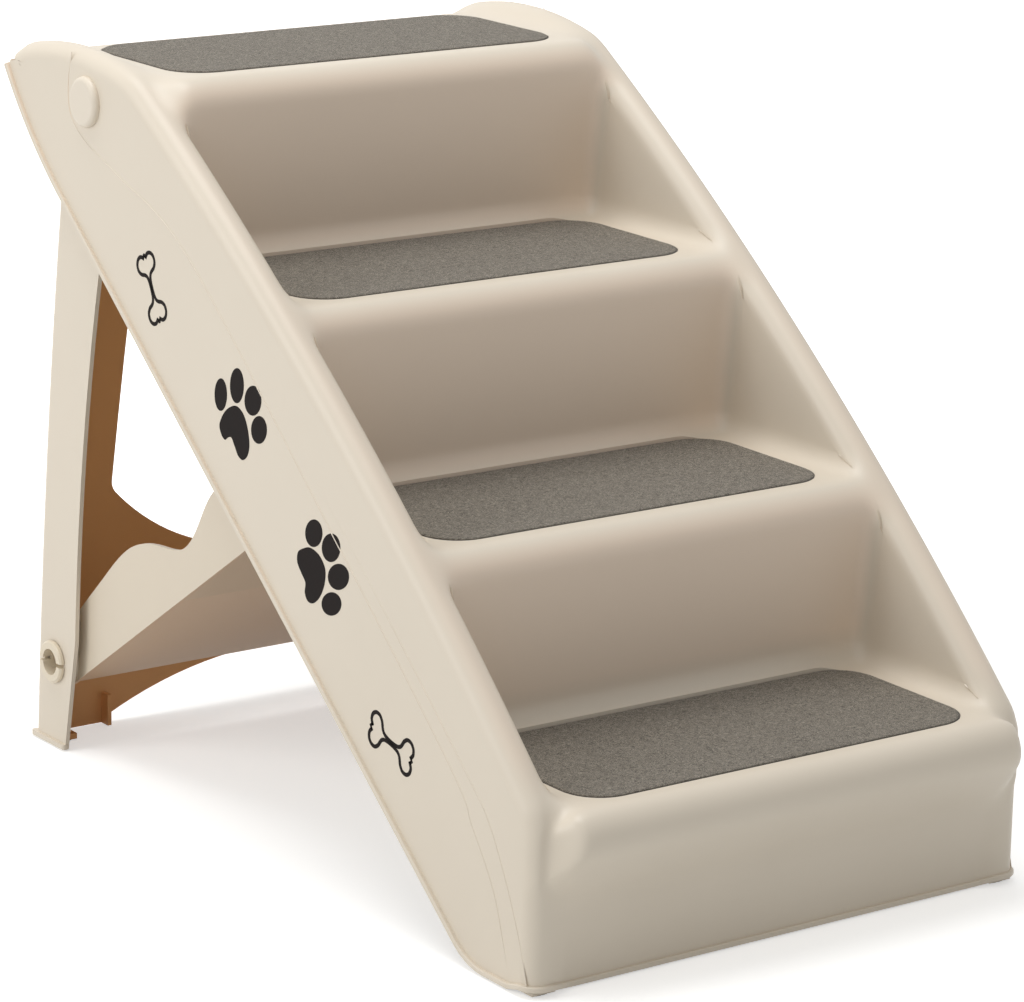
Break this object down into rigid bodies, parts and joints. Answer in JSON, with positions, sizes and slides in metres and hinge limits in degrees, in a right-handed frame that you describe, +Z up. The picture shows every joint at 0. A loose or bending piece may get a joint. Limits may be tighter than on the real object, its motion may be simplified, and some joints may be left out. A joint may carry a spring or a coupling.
{
  "type": "pet stairs",
  "caption": "Folding plastic pet stairs with carpeted treads between raised rims, a hinged rear leg with a window, and a brace that locks it.",
  "frame": {"origin": "on the floor, under the middle of the object's width and depth", "axes": "+Z up; -Y is the front, where the lowest step is; +X to the right for someone facing the front"},
  "size_m": [0.387, 0.634, 0.4846],
  "materials": {
    "shell_plastic": "cream injection-moulded plastic, fine matte texture",
    "leg_plastic": "cream injection-moulded plastic, fine matte texture",
    "brace_plastic": "cream injection-moulded plastic, fine matte texture",
    "cap_plastic": "cream plastic, satin",
    "barrel_plastic": "slightly yellower cream plastic, satin",
    "carpet": "heathered taupe needle-felt carpet with a darker cut edge",
    "rubber_pad": "matte grey rubber",
    "nylon": "natural nylon",
    "steel": "zinc-plated steel"
  },
  "bodies": {
    "stair_body": {"stair_shell": "shell_plastic", "tread_carpet_1": "carpet", "tread_carpet_2": "carpet", "tread_carpet_3": "carpet", "tread_carpet_4": "carpet", "front_foot_pad_left": "rubber_pad", "front_foot_pad_right": "rubber_pad", "hinge_pin_left": "cap_plastic", "hinge_pin_right": "cap_plastic", "hinge_spacer_left": "nylon", "hinge_spacer_right": "nylon", "hinge_washer_left": "steel", "hinge_washer_right": "steel", "hinge_screw_left": "steel", "hinge_screw_right": "steel", "latch_pin_left": "cap_plastic", "latch_pin_right": "cap_plastic"},
    "rear_leg": {"rear_leg": "leg_plastic", "rear_foot_pad_left": "rubber_pad", "rear_foot_pad_right": "rubber_pad"},
    "brace": {"brace": "brace_plastic", "brace_barrel_left": "brace_plastic", "brace_barrel_right": "brace_plastic"}
  },
  "joints": [
    {"name": "leg_fold", "type": "hinge", "parent": "stair_body", "child": "rear_leg", "pos_m": [0, 0.211, 0.452], "axis": [-1, 0, 0], "range_deg": [0, 42]},
    {"name": "brace_fold", "type": "hinge", "parent": "rear_leg", "child": "brace", "pos_m": [0, 0.264, 0.06], "axis": [-1, 0, 0], "range_deg": [0, 46]}
  ],
  "couplings": [
    {"joint": "brace_fold", "follows": "leg_fold", "ratio": 1.0714}
  ]
}
